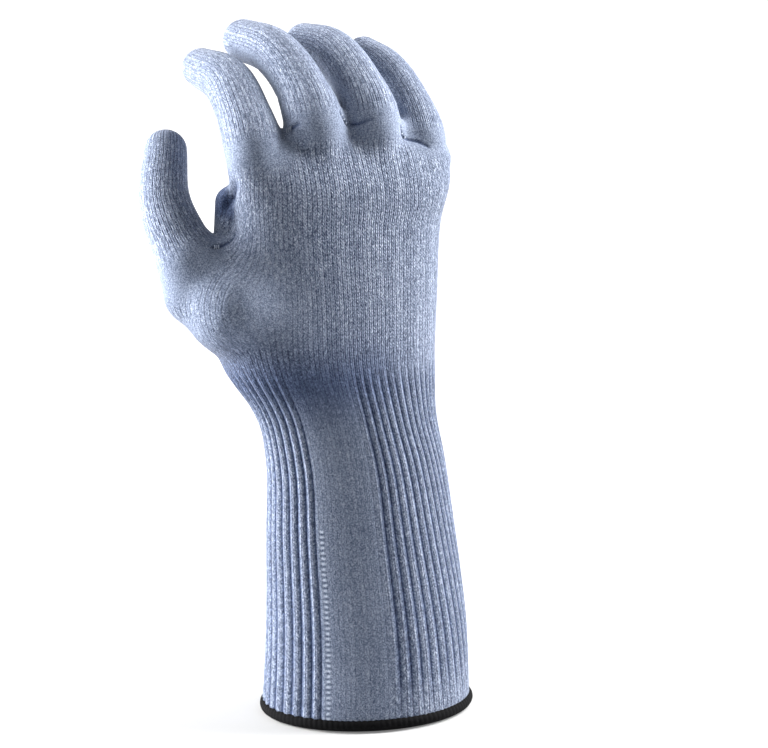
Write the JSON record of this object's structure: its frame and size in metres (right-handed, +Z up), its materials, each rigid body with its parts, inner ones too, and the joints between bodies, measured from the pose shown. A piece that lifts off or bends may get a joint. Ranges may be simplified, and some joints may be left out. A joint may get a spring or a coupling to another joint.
{
  "type": "cut resistant glove",
  "caption": "Knitted cut resistant glove for the right hand, with a long ribbed cuff; it bends at the wrist, finger and thumb joints.",
  "frame": {"origin": "centre of the cuff mouth, on the plane that the hem rests on", "axes": "+Z up the forearm toward the fingers, -X to the thumb side, -Y to the back of the hand, +Y to the palm"},
  "size_m": [0.1257, 0.1061, 0.2698],
  "materials": {
    "plain_knit": "jersey knit in mixed pale blue, white and navy yarn, matt",
    "rib_knit": "rib knit in the same mixed yarn, matt",
    "hem_thread": "black overlock thread",
    "fork_thread": "pale yarn"
  },
  "bodies": {
    "cuff": {"hem_binding": "hem_thread", "forearm_cuff": "rib_knit"},
    "hand": {"wrist_rib": "rib_knit", "five_finger_palm": "plain_knit", "four_finger_palm": "plain_knit", "fork_thread_index_middle": "fork_thread", "fork_thread_middle_ring": "fork_thread", "fork_thread_ring_little": "fork_thread", "fork_thread_thumb": "fork_thread"},
    "index_root": {"index_root": "plain_knit"},
    "index_middle": {"index_middle": "plain_knit"},
    "index_tip": {"index_tip": "plain_knit"},
    "middle_root": {"middle_root": "plain_knit"},
    "middle_middle": {"middle_middle": "plain_knit"},
    "middle_tip": {"middle_tip": "plain_knit"},
    "ring_root": {"ring_root": "plain_knit"},
    "ring_middle": {"ring_middle": "plain_knit"},
    "ring_tip": {"ring_tip": "plain_knit"},
    "little_root": {"little_root": "plain_knit"},
    "little_middle": {"little_middle": "plain_knit"},
    "little_tip": {"little_tip": "plain_knit"},
    "thumb_root": {"thumb_root": "plain_knit"},
    "thumb_tip": {"thumb_tip": "plain_knit"}
  },
  "joints": [
    {"name": "wrist_bend", "type": "hinge", "parent": "cuff", "child": "hand", "pos_m": [-0.007, 0, 0.118], "axis": [-1, 0, 0], "range_deg": [-40, 45]},
    {"name": "index_root_bend", "type": "hinge", "parent": "hand", "child": "index_root", "pos_m": [-0.04338, 0.01113, 0.22654], "axis": [-1, 0, 0], "range_deg": [-32, 30]},
    {"name": "index_middle_bend", "type": "hinge", "parent": "index_root", "child": "index_middle", "pos_m": [-0.0422, 0.02, 0.236], "axis": [-1, 0, 0], "range_deg": [-15, 50]},
    {"name": "index_end_bend", "type": "hinge", "parent": "index_middle", "child": "index_tip", "pos_m": [-0.0404, 0.04, 0.2475], "axis": [-1, 0, 0], "range_deg": [-15, 25]},
    {"name": "middle_root_bend", "type": "hinge", "parent": "hand", "child": "middle_root", "pos_m": [-0.02003, 0.0073, 0.23588], "axis": [-1, 0, 0], "range_deg": [-32, 30]},
    {"name": "middle_middle_bend", "type": "hinge", "parent": "middle_root", "child": "middle_middle", "pos_m": [-0.0198, 0.015, 0.245], "axis": [-1, 0, 0], "range_deg": [-15, 50]},
    {"name": "middle_end_bend", "type": "hinge", "parent": "middle_middle", "child": "middle_tip", "pos_m": [-0.0208, 0.038, 0.2585], "axis": [-1, 0, 0], "range_deg": [-15, 25]},
    {"name": "ring_root_bend", "type": "hinge", "parent": "hand", "child": "ring_root", "pos_m": [0.00445, 0.00772, 0.23644], "axis": [-1, 0, 0], "range_deg": [-32, 30]},
    {"name": "ring_middle_bend", "type": "hinge", "parent": "ring_root", "child": "ring_middle", "pos_m": [0.0048, 0.016, 0.2465], "axis": [-1, 0, 0], "range_deg": [-15, 50]},
    {"name": "ring_end_bend", "type": "hinge", "parent": "ring_middle", "child": "ring_tip", "pos_m": [0.0044, 0.038, 0.2585], "axis": [-1, 0, 0], "range_deg": [-15, 25]},
    {"name": "little_root_bend", "type": "hinge", "parent": "hand", "child": "little_root", "pos_m": [0.02806, 0.01119, 0.22935], "axis": [-1, 0, 0], "range_deg": [-32, 30]},
    {"name": "little_middle_bend", "type": "hinge", "parent": "little_root", "child": "little_middle", "pos_m": [0.0284, 0.018, 0.239], "axis": [-1, 0, 0], "range_deg": [-15, 50]},
    {"name": "little_end_bend", "type": "hinge", "parent": "little_middle", "child": "little_tip", "pos_m": [0.0273, 0.034, 0.251], "axis": [-1, 0, 0], "range_deg": [-15, 25]},
    {"name": "thumb_root_bend", "type": "hinge", "parent": "hand", "child": "thumb_root", "pos_m": [-0.06838, 0.01829, 0.18661], "axis": [-0.9183, 0.2196, -0.3294], "range_deg": [-20, 24]},
    {"name": "thumb_end_bend", "type": "hinge", "parent": "thumb_root", "child": "thumb_tip", "pos_m": [-0.0715, 0.028, 0.2016], "axis": [-0.3498, 0.7795, -0.5197], "range_deg": [-25, 12]}
  ]
}
